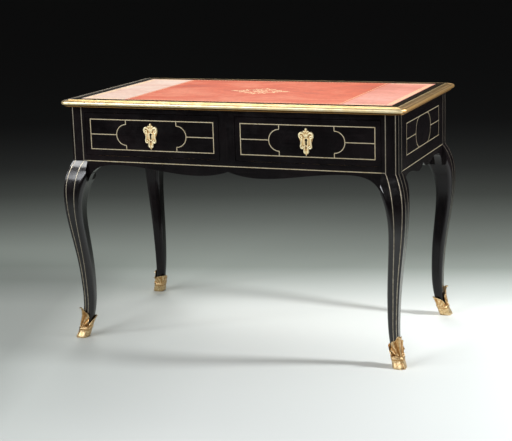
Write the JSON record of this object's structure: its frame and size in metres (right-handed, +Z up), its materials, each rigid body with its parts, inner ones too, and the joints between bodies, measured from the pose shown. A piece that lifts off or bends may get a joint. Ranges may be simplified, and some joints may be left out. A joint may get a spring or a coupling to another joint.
{
  "type": "writing desk",
  "caption": "Flat-topped ebonised writing desk on cabriole legs, with frieze drawers side by side, brass string inlay, gilt shoes and a leather-lined top.",
  "frame": {"origin": "on the floor under the middle of the desk", "axes": "+X to the right of someone seated at the drawers, +Y from that person towards the back, +Z up"},
  "size_m": [1.08, 0.6, 0.75],
  "materials": {
    "black_wood": "ebonised and french polished to a gloss",
    "gilt_bronze": "cast, chased and gilded, worn in the high places",
    "brass_string": "flush inlay, rubbed smooth",
    "oak": "planed and left bare",
    "leather": "dyed red hide with gold tooling",
    "steel": "filed bright, slightly dull with age"
  },
  "bodies": {
    "carcase": {"leg_front_left": "black_wood", "leg_front_right": "black_wood", "leg_back_left": "black_wood", "leg_back_right": "black_wood", "side_rail_left": "black_wood", "side_rail_right": "black_wood", "back_rail": "black_wood", "front_top_rail": "black_wood", "front_bottom_rail": "black_wood", "drawer_divider": "black_wood", "border_front": "black_wood", "border_back": "black_wood", "border_left": "black_wood", "border_right": "black_wood", "sabot_front_left": "gilt_bronze", "sabot_front_right": "gilt_bronze", "sabot_back_left": "gilt_bronze", "sabot_back_right": "gilt_bronze", "moulding_front": "gilt_bronze", "moulding_back": "gilt_bronze", "moulding_left": "gilt_bronze", "moulding_right": "gilt_bronze", "leg_stringing": "brass_string", "side_stringing_left": "brass_string", "side_stringing_right": "brass_string", "back_stringing": "brass_string", "front_stringing": "brass_string", "runner_left": "oak", "runner_right": "oak", "runner_middle": "oak", "guide_left": "oak", "guide_right": "oak", "kicker_left": "oak", "kicker_right": "oak", "top_panel": "oak", "leather_left": "leather", "leather_middle": "leather", "leather_right": "leather", "top_screws": "steel"},
    "drawer_left": {"left_drawer_front": "black_wood", "left_drawer_outer_side": "oak", "left_drawer_inner_side": "oak", "left_drawer_back": "oak", "left_drawer_bottom": "oak", "left_drawer_stringing": "brass_string", "left_escutcheon": "gilt_bronze", "left_escutcheon_pins": "gilt_bronze", "left_lock_case": "steel"},
    "drawer_right": {"right_drawer_front": "black_wood", "right_drawer_outer_side": "oak", "right_drawer_inner_side": "oak", "right_drawer_back": "oak", "right_drawer_bottom": "oak", "right_drawer_stringing": "brass_string", "right_escutcheon": "gilt_bronze", "right_escutcheon_pins": "gilt_bronze", "right_lock_case": "steel"},
    "lock_bolt_left": {"left_lock_bolt": "steel"},
    "lock_bolt_right": {"right_lock_bolt": "steel"}
  },
  "joints": [
    {"name": "drawer_left_slide", "type": "slide", "parent": "carcase", "child": "drawer_left", "axis": [0, -1, 0], "range_m": [0, 0.36]},
    {"name": "drawer_right_slide", "type": "slide", "parent": "carcase", "child": "drawer_right", "axis": [0, -1, 0], "range_m": [0, 0.36]},
    {"name": "lock_bolt_left_throw", "type": "slide", "parent": "drawer_left", "child": "lock_bolt_left", "axis": [0, 0, 1], "range_m": [0, 0.008]},
    {"name": "lock_bolt_right_throw", "type": "slide", "parent": "drawer_right", "child": "lock_bolt_right", "axis": [0, 0, 1], "range_m": [0, 0.008]}
  ]
}
